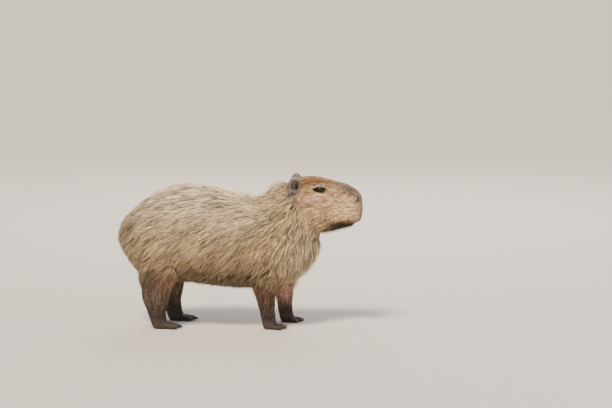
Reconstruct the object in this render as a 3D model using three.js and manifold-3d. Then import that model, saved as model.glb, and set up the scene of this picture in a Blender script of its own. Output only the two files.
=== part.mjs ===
import * as THREE from "three";
import { mergeVertices } from "three/addons/utils/BufferGeometryUtils.js";
import Module from "manifold-3d";

// A life-size capybara standing with its head raised. Millimetres, +Z up, nose towards +X, right side
// towards -Y.

const wasm = await Module();
wasm.setup();

// Driving dimensions, with the coat on
const bodyLength = 943; // rump to nose in this pose
const backHeight = 549; // floor to the top of the back
const trunkHalf = 165; // half the width of the barrel
const headLength = 301; // nape end to nose
const headHeight = 218; // crown to jaw angle
const headHalf = 79; // half the width across the cheeks
const noseX = 473; // ahead of the middle of the body
const rumpX = noseX - bodyLength;
const crownZ = 581; // floor to the top of the head
const coatInset = 11; // the coat's core lies this far inside the tips
const lockThick = 6; // at a lock's ridge
// Locks of the coat: their size, and the distance between rows and between neighbours in a row
const trunkLocks = { long: 124, wide: 64, rowApart: 65, apart: 58 };
const neckLocks = { long: 100, wide: 54, rowApart: 46, apart: 50 };
const bareBelow = -0.85; // no locks where the belly looks down more than this
const gap = 0.3; // between touching pieces
const tiny = 1e-3;
const vast = 3000; // a box that reaches past the whole body

// Seeded random numbers, so that each run makes the same coat
function seeded(seed) {
  let state = seed;
  return () => {
    state = (state + 0x6d2b79f5) | 0;
    let t = Math.imul(state ^ (state >>> 15), 1 | state);
    t = (t + Math.imul(t ^ (t >>> 7), 61 | t)) ^ t;
    return ((t ^ (t >>> 14)) >>> 0) / 4294967296;
  };
}

const mix = (a, b, share) => a + (b - a) * share;
const clamp = THREE.MathUtils.clamp;
const point = (x, y, z) => new THREE.Vector3(x, y, z);

// From a closed geometry to a solid, and back
function solidOf(geometry) {
  const bare = geometry.clone();
  bare.deleteAttribute("normal");
  bare.deleteAttribute("uv");
  const merged = mergeVertices(bare, tiny);
  return new wasm.Manifold(
    new wasm.Mesh({
      numProp: 3,
      vertProperties: merged.attributes.position.array,
      triVerts: new Uint32Array(merged.index.array),
    }),
  );
}

function geometryOf(solid) {
  const mesh = solid.getMesh();
  return new THREE.BufferGeometry()
    .setAttribute("position", new THREE.BufferAttribute(mesh.vertProperties, 3))
    .setIndex(new THREE.BufferAttribute(mesh.triVerts, 1));
}

const largest = (solid) => solid.decompose().reduce((a, b) => (a.volume() > b.volume() ? a : b));
const joined = (solids) => wasm.Manifold.union(solids);
const mirrored = (solid) => solid.mirror([0, 1, 0]);
const placed = (geometry, turn, at) => geometry.applyQuaternion(turn).translate(at.x, at.y, at.z);

// A body surface through stations. Each has a centre, a tilt of its section in degrees (0 stands upright
// across X, -90 lies flat across Z), its reach up, down and sideways, and a power that squares the section
// off. Bumps push it out or in where a muscle, bone or fold lies, on both sides alike.
function surfaceOf(stations, bumps = []) {
  const curve = (pick) => new THREE.CatmullRomCurve3(stations.map(pick), false, "catmullrom", 0.5);
  const centres = curve((s) => point(s.x, s.y ?? 0, s.z));
  const sizes = curve((s) => point(s.up, s.down, s.half));
  const shapes = curve((s) => point(s.tilt ?? 0, s.power ?? 2.2, 0));

  function sectionAt(along) {
    const centre = centres.getPoint(along);
    const size = sizes.getPoint(along);
    const shape = shapes.getPoint(along);
    const tilt = THREE.MathUtils.degToRad(shape.x);
    const forward = point(Math.cos(tilt), 0, Math.sin(tilt));
    const up = point(-Math.sin(tilt), 0, Math.cos(tilt));
    return { centre, size, power: shape.y, forward, up };
  }

  function surface(along, around) {
    const { centre, size, power, up } = sectionAt(along);
    const angle = 2 * Math.PI * around;
    const c = Math.cos(angle);
    const s = Math.sin(angle);
    const rise = Math.sign(c) * Math.abs(c) ** (2 / power) * (c > 0 ? size.x : size.y);
    const side = Math.sign(s) * Math.abs(s) ** (2 / power) * size.z;
    const at = centre.clone().addScaledVector(up, rise).add(point(0, side, 0));
    const out = at.clone().sub(centre);
    out.divideScalar(out.length() + 1);
    for (const b of bumps) {
      const reach = Math.hypot(at.x - b.x, Math.abs(at.y) - b.y, at.z - b.z) / b.radius;
      at.addScaledVector(out, b.push * Math.exp(-reach * reach));
    }
    return at;
  }

  // Whether a point lies inside, judged in the section that is nearest to it
  surface.holds = (p) => {
    const tries = 60;
    let best = null;
    for (let k = 0; k <= tries; k++) {
      const section = sectionAt(k / tries);
      const from = p.clone().sub(section.centre);
      const off = Math.abs(from.dot(section.forward));
      if (!best || off < best.off) best = { ...section, from, off };
    }
    const rise = best.from.dot(best.up);
    const reach = Math.max(rise > 0 ? best.size.x : best.size.y, tiny);
    const wide = Math.max(best.size.z, tiny);
    return Math.abs(rise / reach) ** best.power + Math.abs(best.from.y / wide) ** best.power < 1;
  };
  return surface;
}

// A closed solid on a surface, grown outwards by a distance, or inwards where that is negative
function blob(surface, sides, rings, grow = 0) {
  const geometry = new THREE.SphereGeometry(1, sides, rings);
  const { position, uv } = geometry.attributes;
  for (let i = 0; i < position.count; i++) {
    const at = surface(1 - uv.getY(i), uv.getX(i));
    position.setXYZ(i, at.x, at.y, at.z);
  }
  geometry.deleteAttribute("normal");
  geometry.deleteAttribute("uv");
  const merged = mergeVertices(geometry, tiny);
  merged.computeVertexNormals();
  const { position: place, normal } = merged.attributes;
  for (let i = 0; i < place.count; i++) {
    const out = point(normal.getX(i), normal.getY(i), normal.getZ(i)).multiplyScalar(grow);
    place.setXYZ(i, place.getX(i) + out.x, place.getY(i) + out.y, place.getZ(i) + out.z);
  }
  return solidOf(merged);
}

// An ellipsoid of three half axes
function ellipsoid(half, turn, at, sides, rings) {
  const geometry = new THREE.SphereGeometry(1, sides, rings).scale(half.x, half.y, half.z);
  return solidOf(placed(geometry, turn, at));
}

const axisX = point(1, 0, 0);
const axisY = point(0, 1, 0);
const axisZ = point(0, 0, 1);
const turned = (axis, degrees) =>
  new THREE.Quaternion().setFromAxisAngle(axis, THREE.MathUtils.degToRad(degrees));
// Turns Z to look along a direction, after a spin about it
const facing = (look, spin = 0) =>
  new THREE.Quaternion().setFromUnitVectors(axisZ, look.normalize()).multiply(turned(axisZ, spin));

// Trunk: shares of the body's length, the back's height and the barrel's half width, from rump to chest
const trunkShares = [
  { along: 0.0, top: 0.64, bottom: 0.64, half: 0 },
  { along: 0.006, top: 0.714, bottom: 0.57, half: 0.34 },
  { along: 0.037, top: 0.785, bottom: 0.475, half: 0.58 },
  { along: 0.083, top: 0.853, bottom: 0.385, half: 0.75 },
  { along: 0.138, top: 0.925, bottom: 0.345, half: 0.87 },
  { along: 0.223, top: 0.988, bottom: 0.328, half: 0.94 },
  { along: 0.301, top: 1.0, bottom: 0.321, half: 0.98 },
  { along: 0.392, top: 0.98, bottom: 0.3, half: 1.0 },
  { along: 0.477, top: 0.944, bottom: 0.288, half: 0.975 },
  { along: 0.562, top: 0.91, bottom: 0.288, half: 0.91 },
  { along: 0.636, top: 0.84, bottom: 0.306, half: 0.83 },
  { along: 0.711, top: 0.725, bottom: 0.338, half: 0.71 },
  { along: 0.76, top: 0.645, bottom: 0.395, half: 0.545 },
  { along: 0.79, top: 0.588, bottom: 0.463, half: 0.33 },
  { along: 0.802, top: 0.525, bottom: 0.525, half: 0 },
];
const trunkWidest = 0.44; // height of the widest line, as a share of the section
const trunkBumps = [
  { x: -318, y: 128, z: 290, radius: 85, push: 12 }, // thigh
  { x: 105, y: 120, z: 285, radius: 70, push: 9 }, // shoulder
  { x: -190, y: 130, z: 215, radius: 60, push: -8 }, // flank before the thigh
  { x: 10, y: 125, z: 230, radius: 45, push: -6 }, // behind the elbow
];
const trunkSurface = surfaceOf(
  trunkShares.map((s) => {
    const z = backHeight * mix(s.bottom, s.top, trunkWidest);
    return {
      x: rumpX + bodyLength * s.along,
      z,
      up: backHeight * s.top - z,
      down: z - backHeight * s.bottom,
      half: trunkHalf * s.half,
    };
  }),
  trunkBumps,
);

// Neck: from deep in the chest up and forward into the head
const neckSurface = surfaceOf([
  { x: 60, z: 335, tilt: 30, up: 0, down: 0, half: 0 },
  { x: 90, z: 350, tilt: 34, up: 118, down: 165, half: 92 },
  { x: 148, z: 385, tilt: 40, up: 142, down: 184, half: 112 },
  { x: 200, z: 425, tilt: 45, up: 135, down: 148, half: 101 },
  { x: 235, z: 455, tilt: 50, up: 138, down: 108, half: 86 },
  { x: 262, z: 474, tilt: 50, up: 124, down: 70, half: 66 },
  { x: 278, z: 484, tilt: 50, up: 106, down: 40, half: 48 },
  { x: 292, z: 494, tilt: 50, up: 0, down: 0, half: 0 },
]);

// Head: shares of its length, its height below the crown and the cheeks' half width, from nape end to nose
const headShares = [
  { along: 0.0, top: 0.48, bottom: 0.48, half: 0, power: 2.2 },
  { along: 0.045, top: 0.19, bottom: 0.76, half: 0.55, power: 2.4 },
  { along: 0.14, top: 0.055, bottom: 0.91, half: 0.82, power: 2.6 },
  { along: 0.26, top: 0.01, bottom: 0.98, half: 0.95, power: 2.8 },
  { along: 0.39, top: 0.0, bottom: 1.0, half: 1.0, power: 2.9 },
  { along: 0.525, top: 0.034, bottom: 0.98, half: 0.92, power: 2.8 },
  { along: 0.655, top: 0.078, bottom: 0.945, half: 0.8, power: 2.7 },
  { along: 0.77, top: 0.12, bottom: 0.905, half: 0.72, power: 2.8 },
  { along: 0.87, top: 0.188, bottom: 0.85, half: 0.68, power: 3.0 },
  { along: 0.94, top: 0.262, bottom: 0.79, half: 0.61, power: 3.1 },
  { along: 0.982, top: 0.36, bottom: 0.72, half: 0.45, power: 3.0 },
  { along: 1.0, top: 0.56, bottom: 0.56, half: 0, power: 2.6 },
];
const headWidest = 0.42;
const eyeAt = point(307, -51, 535); // right eye's centre
const eyeRadius = 18;
const nostrilAt = point(455, -46, 497); // right nostril, on the skin
const headBumps = [
  { x: 262, y: 68, z: 425, radius: 55, push: 8 }, // jaw muscle
  { x: 285, y: 76, z: 490, radius: 32, push: 4 }, // cheekbone
  { x: eyeAt.x, y: 60, z: eyeAt.z + 16, radius: 26, push: 6 }, // brow
  { x: eyeAt.x + 44, y: 60, z: eyeAt.z - 22, radius: 28, push: -5 }, // hollow before the eye
  { x: 425, y: 54, z: 448, radius: 32, push: 5 }, // whisker pad
  { x: 396, y: 52, z: 396, radius: 18, push: -5 }, // hollow below the mouth's corner
  { x: nostrilAt.x, y: 46, z: nostrilAt.z + 3, radius: 15, push: 3 }, // nostril's rim
];
const headSurface = surfaceOf(
  headShares.map((s) => {
    const top = crownZ - headHeight * s.top;
    const bottom = crownZ - headHeight * s.bottom;
    const z = mix(bottom, top, headWidest);
    return {
      x: noseX - headLength * (1 - s.along),
      z,
      up: top - z,
      down: z - bottom,
      half: headHalf * s.half,
      power: s.power,
    };
  }),
  headBumps,
);

// Eyes look sideways, a little forwards and upwards
const lidThick = 3;
const lidFlat = 0.92; // the lids' height for their length
const eyeOpening = { long: 33, high: 18 };
const eyeTurn = facing(point(0.16, -0.96, 0.22));

function eyeball(grow = 0) {
  const reach = eyeRadius + grow;
  return ellipsoid(point(reach, reach, reach), eyeTurn, eyeAt, 12, 8);
}

// The lens-shaped slit between the lids, drawn flat and run outwards from the eye's centre
function slitBetweenLids() {
  const { long, high } = eyeOpening;
  const slit = new THREE.Shape();
  slit.moveTo(-long / 2, 0);
  slit.quadraticCurveTo(-long * 0.18, high * 1.02, long * 0.5, -high * 0.1);
  slit.quadraticCurveTo(long * 0.1, -high * 0.95, -long / 2, 0);
  const run = { depth: 2 * eyeRadius, bevelEnabled: false, curveSegments: 4 };
  return solidOf(placed(new THREE.ExtrudeGeometry(slit, run), eyeTurn, eyeAt));
}

function lids() {
  const reach = eyeRadius + lidThick;
  return ellipsoid(point(reach, reach * lidFlat, reach), eyeTurn, eyeAt, 12, 8);
}

// The mouth's line: a thin curved blade across the muzzle, kept only near the skin
const mouthLine = [
  point(490, 414, 0),
  point(463, 410, 0),
  point(437, 404, 0),
  point(412, 400, 0),
  point(388, 402, 0),
  point(370, 410, 0),
];
const mouthWide = 2.6;
const grooveDeep = 5;
const lipSplitAt = { wide: 2.2, low: 414, high: 480 };

function mouthGroove(within) {
  const line = new THREE.CatmullRomCurve3(mouthLine).getPoints(7);
  const outline = new THREE.Shape([
    ...line.map((p) => new THREE.Vector2(p.x, p.y + mouthWide / 2)),
    ...line.reverse().map((p) => new THREE.Vector2(p.x, p.y - mouthWide / 2)),
  ]);
  const blade = new THREE.ExtrudeGeometry(outline, { depth: 2 * headHalf, bevelEnabled: false });
  return solidOf(placed(blade, turned(axisX, 90), point(0, headHalf, 0))).subtract(within);
}

// The upright split of the upper lip
function lipSplit(within) {
  const { wide, low, high } = lipSplitAt;
  const split = new THREE.BoxGeometry(headHalf, wide, high - low).translate(noseX, 0, (low + high) / 2);
  return solidOf(split).subtract(within);
}

// A slanted slit on the corner of the muzzle
const nostrilHalf = point(7, 3, 8);
const nostrilTurn = facing(point(0.5, -0.83, 0.22), 68);

const headMesh = [26, 24]; // sides and rings
function headSolid() {
  const within = blob(headSurface, 16, 18, -grooveDeep);
  const nostril = ellipsoid(nostrilHalf, nostrilTurn, nostrilAt, 10, 6);
  const right = [eyeball(gap), slitBetweenLids(), nostril];
  const cuts = joined([...right, ...right.map(mirrored), mouthGroove(within), lipSplit(within)]);
  const whole = joined([blob(headSurface, ...headMesh), lids(), mirrored(lids())]);
  return largest(whole.subtract(cuts));
}

// Ears: an upright cup whose mouth faces sideways, its root cut to the head
const earAt = point(211, -60, 553);
const earHalf = point(23, 15, 35);
const earWall = 3.4;
const cupShift = point(3, -9.5, -2); // from the ear's middle to its hollow's
const earTurn = turned(axisX, 16).multiply(turned(axisZ, 8));

function earSolid(grow = 0) {
  const outer = ellipsoid(earHalf.clone().addScalar(grow), earTurn, earAt, 14, 10);
  if (grow) return outer;
  const hollow = point(earHalf.x - earWall, earHalf.y - 1, earHalf.z - earWall);
  const hollowAt = cupShift.clone().applyQuaternion(earTurn).add(earAt);
  return outer.subtract(ellipsoid(hollow, earTurn, hollowAt, 12, 8));
}

// Legs: flat sections from inside the trunk down to the wrist or ankle
const wristZ = 50;
const ankleZ = 46;
const foreX = { right: 103, left: 159 };
const foreY = 82;
const hindX = { right: -318, left: -277 };
const hindY = 92;

function legStations(rows, x, y, lean) {
  return rows.map((r) => ({
    x: x + r.ahead + lean * (r.z - wristZ),
    y,
    z: r.z,
    tilt: -90,
    up: r.fore,
    down: r.aft,
    half: r.half,
  }));
}

const foreRows = [
  { z: 300, ahead: 0, fore: 0, aft: 0, half: 0 },
  { z: 280, ahead: 0, fore: 42, aft: 40, half: 30 },
  { z: 230, ahead: -4, fore: 50, aft: 48, half: 37 },
  { z: 185, ahead: -3, fore: 43, aft: 43, half: 34 },
  { z: 150, ahead: 0, fore: 37, aft: 37, half: 30 },
  { z: 105, ahead: 2, fore: 33, aft: 33, half: 27 },
  { z: 65, ahead: 4, fore: 29, aft: 27, half: 24 },
  { z: 30, ahead: 7, fore: 28, aft: 24, half: 24 },
  { z: 10, ahead: 8, fore: 0, aft: 0, half: 0 },
];
const hindRows = [
  { z: 305, ahead: 0, fore: 0, aft: 0, half: 0 },
  { z: 280, ahead: 0, fore: 52, aft: 52, half: 40 },
  { z: 232, ahead: 4, fore: 66, aft: 66, half: 48 },
  { z: 190, ahead: 4, fore: 62, aft: 62, half: 43 },
  { z: 155, ahead: 0, fore: 55, aft: 56, half: 37 },
  { z: 120, ahead: -4, fore: 49, aft: 51, half: 32 },
  { z: 92, ahead: -4, fore: 41, aft: 43, half: 28 },
  { z: 62, ahead: -2, fore: 34, aft: 33, half: 26 },
  { z: 30, ahead: 4, fore: 32, aft: 29, half: 27 },
  { z: 10, ahead: 8, fore: 0, aft: 0, half: 0 },
];
const legSides = { right: -1, left: 1 };
const legSurfaces = {};
for (const [side, sign] of Object.entries(legSides)) {
  const foreLean = side === "right" ? -0.05 : 0.02;
  legSurfaces["fore_" + side] = surfaceOf(legStations(foreRows, foreX[side], sign * foreY, foreLean));
  const hindLean = side === "right" ? 0 : -0.12;
  legSurfaces["hind_" + side] = surfaceOf(legStations(hindRows, hindX[side], sign * hindY, hindLean));
}

// Everything below a level
function below(level) {
  return solidOf(new THREE.BoxGeometry(vast, vast, vast).translate(0, 0, level - vast / 2));
}

const legMesh = [12, 11];
function legSolid(surface, cutZ) {
  return blob(surface, ...legMesh).subtract(below(cutZ + gap / 2));
}

// Feet: a pad under the wrist or ankle, and toes that spread forwards, joined by a web and flat underneath
const footKinds = {
  fore: {
    topZ: wristZ,
    pad: [
      { z: 70, ahead: 3, fore: 0, aft: 0, half: 0 },
      { z: 62, ahead: 4, fore: 22, aft: 22, half: 20 },
      { z: 48, ahead: 5, fore: 28, aft: 25.5, half: 23.5 },
      { z: 28, ahead: 9, fore: 31, aft: 27, half: 26 },
      { z: 11, ahead: 13, fore: 34, aft: 28, half: 29 },
      { z: -3, ahead: 15, fore: 29, aft: 22, half: 27 },
      { z: -9, ahead: 16, fore: 0, aft: 0, half: 0 },
    ],
    toes: [
      { fan: -25, length: 44, spread: -19 },
      { fan: -8, length: 55, spread: -7 },
      { fan: 8, length: 54, spread: 7 },
      { fan: 24, length: 42, spread: 19 },
    ],
    toeRoot: 18,
    toeThick: 9.5,
  },
  hind: {
    topZ: ankleZ,
    pad: [
      { z: 68, ahead: -3, fore: 0, aft: 0, half: 0 },
      { z: 60, ahead: -1, fore: 27, aft: 27, half: 22 },
      { z: 44, ahead: 1, fore: 33, aft: 31, half: 26 },
      { z: 26, ahead: 7, fore: 34, aft: 33, half: 28 },
      { z: 10, ahead: 14, fore: 37, aft: 34, half: 30 },
      { z: -3, ahead: 16, fore: 32, aft: 27, half: 28 },
      { z: -9, ahead: 18, fore: 0, aft: 0, half: 0 },
    ],
    toes: [
      { fan: -17, length: 54, spread: -15 },
      { fan: 0, length: 66, spread: 0 },
      { fan: 16, length: 54, spread: 15 },
    ],
    toeRoot: 24,
    toeThick: 11.5,
  },
};
const toeShares = [
  { along: -0.1, z: 0.8, reach: 0 },
  { along: 0.0, z: 0.85, reach: 1.1 },
  { along: 0.35, z: 0.95, reach: 1.08 },
  { along: 0.7, z: 0.68, reach: 0.98 },
  { along: 0.93, z: 0.5, reach: 0.78 },
  { along: 1.0, z: 0.45, reach: 0 },
];
const webLow = 2;
const webHigh = 8;
const webRoot = 12; // half its width under the ankle
const webReach = 0.62; // how far along the toes it goes

function toeTurn(toe) {
  return turned(axisZ, toe.fan);
}

function toeSolid(kind, toe, grow) {
  const stations = toeShares.map((s) => ({
    x: toe.length * s.along,
    z: kind.toeThick * s.z + 1,
    up: kind.toeThick * s.reach * 0.95,
    down: kind.toeThick * s.reach,
    half: kind.toeThick * s.reach * 0.92,
  }));
  const geometry = geometryOf(blob(surfaceOf(stations), 6, 5, grow));
  return solidOf(placed(geometry, toeTurn(toe), point(kind.toeRoot, toe.spread, 0)));
}

function webSolid(kind) {
  const tips = kind.toes.map((toe) => {
    const reach = point(toe.length * webReach, 0, 0).applyQuaternion(toeTurn(toe));
    return new THREE.Vector2(kind.toeRoot + reach.x, toe.spread + reach.y);
  });
  const root = [new THREE.Vector2(0, webRoot), new THREE.Vector2(0, -webRoot)];
  const outline = new THREE.Shape([...root, ...tips]);
  const web = new THREE.ExtrudeGeometry(outline, { depth: webHigh - webLow, bevelEnabled: false });
  return solidOf(web.translate(0, 0, webLow));
}

// A foot at its own ankle, pointing along +X
function footSolid(kind, grow = 0) {
  const pad = blob(surfaceOf(legStations(kind.pad, 0, 0, 0)), 12, 6, grow);
  const toes = kind.toes.map((toe) => toeSolid(kind, toe, grow));
  const whole = joined([pad, webSolid(kind), ...toes]);
  return whole.subtract(below(0)).intersect(below(kind.topZ - gap / 2));
}

// Claws: short blunt hoof-like nails over the ends of the toes
const clawLong = 21;
const clawOut = 11; // how far they reach past the toe's end
const clawLift = 2.2; // and how far above the toe's own line they lie
const clawClear = 1; // their tips stay this far off the floor
const clawShares = [
  { along: 0.0, z: 0.62, reach: 0 },
  { along: 0.08, z: 0.62, reach: 0.8 },
  { along: 0.5, z: 0.6, reach: 0.78 },
  { along: 0.85, z: 0.42, reach: 0.5 },
  { along: 1.0, z: 0.3, reach: 0 },
];

function clawSolid(kind, toe) {
  const stations = clawShares.map((s) => ({
    x: toe.length + clawOut - clawLong * (1 - s.along),
    z: kind.toeThick * s.z + clawLift,
    up: kind.toeThick * s.reach * 0.8,
    down: kind.toeThick * s.reach * 0.75,
    half: kind.toeThick * s.reach * 0.82,
  }));
  const geometry = geometryOf(blob(surfaceOf(stations), 6, 3));
  const claw = solidOf(placed(geometry, toeTurn(toe), point(kind.toeRoot, toe.spread, 0)));
  return claw.subtract(below(clawClear));
}

// Materials
const finish = (color, roughness) => new THREE.MeshStandardMaterial({ color, roughness, metalness: 0 });
const materials = {
  coat: finish(0xa8916b, 0.9),
  face: finish(0x96724a, 0.85),
  ear: finish(0x7d6253, 0.75),
  eye: finish(0x120d0a, 0.08),
  leg: finish(0x6b4f3a, 0.85),
  foot: finish(0x4a3c34, 0.7),
  claw: finish(0x2e2622, 0.5),
};

const animal = new THREE.Group();
function add(name, solid, material) {
  const mesh = new THREE.Mesh(geometryOf(solid), material);
  mesh.name = name;
  animal.add(mesh);
}

// The lie of the coat: backwards along the back, slanting down the flanks, and nearly straight down on
// the chest and throat
const lieSlopes = { back: 6, belly: 56, nape: 50, throat: 80 }; // degrees below level
const flankHigh = 330;
const shoulderX = 60;
const throatX = 240;
function lieAt(p) {
  const low = clamp((backHeight - p.z) / flankHigh, 0, 1);
  const fore = THREE.MathUtils.smoothstep(p.x, shoulderX, throatX);
  const rear = mix(lieSlopes.back, lieSlopes.belly, low);
  const slope = THREE.MathUtils.degToRad(mix(rear, mix(lieSlopes.nape, lieSlopes.throat, low), fore));
  return point(-Math.cos(slope), 0, -Math.sin(slope));
}

// A lock's stops from root to tip, as shares of its length, with its width and height over the core at each
const lockStops = [0, 0.5, 1];
const lockWidth = [0.6, 1, 0];
const lockRise = [-9, 3, 10.5];
const poleFree = { low: 0.04, high: 0.97 }; // locks stay this far from the ends of a surface

// Where a lock leaves the surface and goes on over it: places, outward normals and sideways directions
function pathOver(surface, along, around, long, bend) {
  const step = 1e-3;
  const stops = [];
  let [t, u] = [along, around];
  for (const share of lockStops) {
    const at = surface(t, u);
    const down = surface(t + step, u).sub(at).divideScalar(step);
    const round = surface(t, u + step).sub(at).divideScalar(step);
    const out = down.clone().cross(round).normalize();
    const lie = lieAt(at).applyAxisAngle(out, bend);
    lie.addScaledVector(out, -lie.dot(out)).normalize();
    stops.push({ at, out, side: lie.clone().cross(out) });
    // One step of the walk, solved in the surface's own two directions
    const [a, b, c] = [down.dot(down), down.dot(round), round.dot(round)];
    const [p, q] = [lie.dot(down), lie.dot(round)];
    const flat = a * c - b * b;
    const next = (lockStops[stops.length] ?? share) - share;
    t = clamp(t + (next * long * (p * c - q * b)) / flat, poleFree.low, poleFree.high);
    u += (next * long * (q * a - p * b)) / flat;
  }
  return stops;
}

// A flat tapered lock of three sides: a cone of three edges, its root sunk in the core, its ridge outwards
// and its tip out at the coat's full depth
function lockSolid(stops, size) {
  const last = stops.length - 1;
  const geometry = new THREE.ConeGeometry(1, 1, 3, last);
  const { position } = geometry.attributes;
  for (let i = 0; i < position.count; i++) {
    const share = position.getY(i) + 0.5;
    const k = Math.round(share * last);
    const taper = Math.max(1 - share, tiny);
    const thick = k < last ? lockThick / 1.5 : 0;
    const wide = ((position.getX(i) / taper) * lockWidth[k] * size.wide) / Math.sqrt(3);
    const high = lockRise[k] * size.deep + (position.getZ(i) / taper) * thick - coatInset;
    const { at, out, side } = stops[k];
    const place = at.clone().addScaledVector(side, wide).addScaledVector(out, high);
    position.setXYZ(i, place.x, place.y, place.z);
  }
  return solidOf(geometry);
}

// The lengths along the side of a surface, from its start to each of many steps
function lengthsAlong(surface) {
  const steps = 80;
  const lengths = [0];
  for (let k = 1; k <= steps; k++) {
    const next = surface(k / steps, 0.25).distanceTo(surface((k - 1) / steps, 0.25));
    lengths.push(lengths[k - 1] + next);
  }
  return lengths;
}

// The way round a surface
function roundOf(surface, along) {
  const steps = 40;
  let round = 0;
  for (let k = 0; k < steps; k++) {
    round += surface(along, k / steps).distanceTo(surface(along, (k + 1) / steps));
  }
  return round;
}

// Rows of locks over a surface, each row set half a lock on from the last, where the surface shows
const rowShift = 0.35; // where the first row lies, as a share of the way to the next
const rowEnds = { low: 0.06, high: 0.95 };
const jitter = 0.3;
function coatOver(surface, kind, shows, random) {
  const locks = [];
  const lengths = lengthsAlong(surface);
  const whole = lengths[lengths.length - 1];
  const rows = Math.round(whole / kind.rowApart);
  for (let row = 0; row < rows; row++) {
    const reach = (whole * (row + rowShift)) / rows;
    const along = lengths.findIndex((l) => l >= reach) / (lengths.length - 1);
    if (along < rowEnds.low || along > rowEnds.high) continue;
    const count = Math.round(roundOf(surface, along) / kind.apart);
    for (let k = 0; k < count; k++) {
      const around = (k + 0.5 * (row % 2) + jitter * (random() - 0.5)) / count;
      const size = {
        long: kind.long * mix(0.86, 1.14, random()),
        wide: kind.wide * mix(0.88, 1.12, random()),
        deep: mix(0.75, 1.05, random()),
        bend: mix(-0.16, 0.16, random()),
      };
      const stops = pathOver(surface, along, around, size.long, size.bend);
      if (shows(stops[1])) locks.push(lockSolid(stops, size));
    }
  }
  return locks;
}

// Assembly: the body is modelled whole and parted by a thin cut; the head and legs are set against it
const coreMesh = { trunk: [20, 20], neck: [18, 10] };
function coreSolid(grow = 0) {
  return joined([
    blob(trunkSurface, ...coreMesh.trunk, grow - coatInset),
    blob(neckSurface, ...coreMesh.neck, grow - coatInset),
  ]);
}

const random = seeded(25);
const trunkShows = (stop) => !neckSurface.holds(stop.at) && stop.out.z > bareBelow;
const neckShows = (stop) => !trunkSurface.holds(stop.at) && !headSurface.holds(stop.at);
const coat = joined([
  ...coatOver(trunkSurface, trunkLocks, trunkShows, random),
  ...coatOver(neckSurface, neckLocks, neckShows, random),
]);

const headGrown = blob(headSurface, ...headMesh, gap);
const earGrown = earSolid(gap);
const legsGrown = joined(Object.values(legSurfaces).map((surface) => blob(surface, ...legMesh, gap)));
const besideBody = joined([headGrown, earGrown, mirrored(earGrown)]);
const body = joined([coreSolid(), coat.subtract(legsGrown)]).subtract(besideBody);
const coreGrown = coreSolid(gap);

// The cut between neck and torso runs from the dip of the nape down to the chest
const nape = point(96, 0, 500);
const chest = point(262, 0, 215);
const cutAngle = THREE.MathUtils.radToDeg(Math.atan2(nape.z - chest.z, chest.x - nape.x));
function beforeCut(offset) {
  const box = new THREE.BoxGeometry(vast, vast, vast).translate(0, 0, vast / 2 + offset);
  return solidOf(placed(box, turned(axisY, cutAngle), nape));
}
const torso = largest(body.subtract(beforeCut(-gap / 2)));
const neck = largest(body.intersect(beforeCut(gap / 2)));
const ear = largest(earSolid().subtract(headGrown));

add("torso", torso, materials.coat);
add("neck", neck, materials.coat);
add("head", headSolid(), materials.face);
add("ear_right", ear, materials.ear);
add("ear_left", mirrored(ear), materials.ear);
add("eye_right", eyeball(), materials.eye);
add("eye_left", mirrored(eyeball()), materials.eye);

const places = {
  fore: { x: foreX, y: foreY, node: "foreleg_", foot: "forefoot_" },
  hind: { x: hindX, y: hindY, node: "hindleg_", foot: "hindfoot_" },
};
for (const [end, place] of Object.entries(places)) {
  const kind = footKinds[end];
  const foot = footSolid(kind);
  const footGrown = footSolid(kind, gap);
  for (const [side, sign] of Object.entries(legSides)) {
    const at = [place.x[side], sign * place.y, 0];
    const leg = legSolid(legSurfaces[end + "_" + side], kind.topZ).subtract(coreGrown);
    add(place.node + side, largest(leg), materials.leg);
    const onSide = (solid) => (sign < 0 ? solid : mirrored(solid)).translate(at);
    add(place.foot + side, largest(onSide(foot)), materials.foot);
    kind.toes.forEach((toe, i) => {
      const claw = largest(clawSolid(kind, toe).subtract(footGrown));
      add("claw_" + end + "_" + side + "_" + (i + 1), onSide(claw), materials.claw);
    });
  }
}

// The origin is on the floor, under the middle of the whole
const bounds = new THREE.Box3().setFromObject(animal);
const middle = bounds.getCenter(point(0, 0, 0));
animal.position.set(-middle.x, -middle.y, -bounds.min.z);

export default animal;
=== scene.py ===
from math import cos, pi, radians, sin

import bmesh
import bpy
import numpy as np
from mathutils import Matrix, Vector, noise
from mathutils.bvhtree import BVHTree


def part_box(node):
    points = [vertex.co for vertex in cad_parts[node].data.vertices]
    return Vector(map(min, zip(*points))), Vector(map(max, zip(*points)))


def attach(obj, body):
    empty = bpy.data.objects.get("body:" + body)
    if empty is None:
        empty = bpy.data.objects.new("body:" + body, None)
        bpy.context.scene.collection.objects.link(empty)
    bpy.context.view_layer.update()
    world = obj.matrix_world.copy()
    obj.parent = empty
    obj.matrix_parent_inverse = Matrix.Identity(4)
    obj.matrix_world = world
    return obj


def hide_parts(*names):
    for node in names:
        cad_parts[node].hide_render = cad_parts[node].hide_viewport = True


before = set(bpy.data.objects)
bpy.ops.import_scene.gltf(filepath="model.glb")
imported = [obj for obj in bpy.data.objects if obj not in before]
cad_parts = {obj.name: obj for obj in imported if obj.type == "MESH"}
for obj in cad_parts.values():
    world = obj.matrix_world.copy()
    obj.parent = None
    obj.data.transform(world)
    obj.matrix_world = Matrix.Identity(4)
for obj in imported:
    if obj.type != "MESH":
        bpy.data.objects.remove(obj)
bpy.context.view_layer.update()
mm = 0.001
sides = {"right": -1, "left": 1}
bodyName = "root"

# Places are in millimetres from a point on the floor under the body's middle, as the solids were drawn.
# The frame's own origin is shifted along X, and the right eye shows by how much.
eyeAt = np.array([307.0, -51.0, 535.0])
eyeLow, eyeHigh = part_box("eye_right")
originX = (eyeLow.x + eyeHigh.x) / 2 / mm - eyeAt[0]
rng = np.random.default_rng(7)


def toFrame(points):
    return (np.asarray(points, float) + np.array([originX, 0, 0])) * mm


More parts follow.
